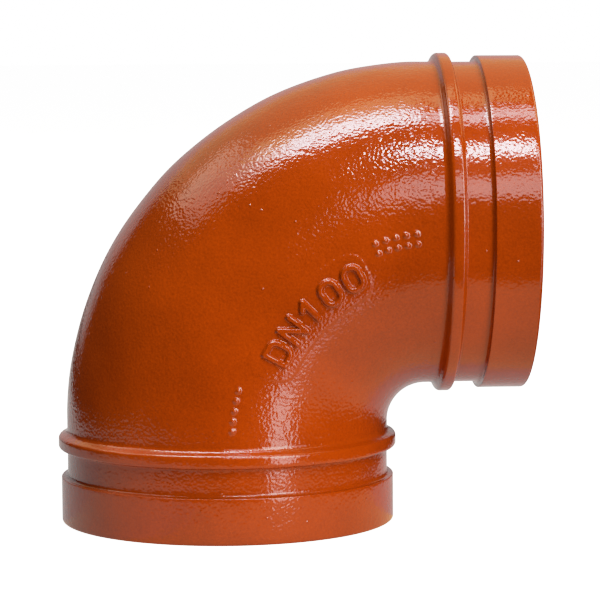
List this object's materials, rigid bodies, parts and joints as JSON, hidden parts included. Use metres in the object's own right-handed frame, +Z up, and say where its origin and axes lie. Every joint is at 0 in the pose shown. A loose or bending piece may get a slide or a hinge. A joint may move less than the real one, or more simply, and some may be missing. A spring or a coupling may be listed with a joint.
{
  "type": "grooved pipe elbow",
  "caption": "Hollow 90 degree pipe elbow with a coupling groove and a raised bead at each end, cast and finished in orange enamel.",
  "frame": {"origin": "centre of the lower end's face, on the axis of its bore", "axes": "+Z up the lower end's axis into the casting, +X out along the side end's axis, raised size mark on the -Y side"},
  "size_m": [0.1597, 0.1162, 0.1597],
  "materials": {
    "enamelled_iron": "gloss"
  },
  "bodies": {
    "root": {"lower_grooved_end": "enamelled_iron", "side_grooved_end": "enamelled_iron", "bend_shell": "enamelled_iron", "raised_size_mark": "enamelled_iron", "side_end_pips": "enamelled_iron", "lower_end_pips": "enamelled_iron"}
  },
  "joints": []
}
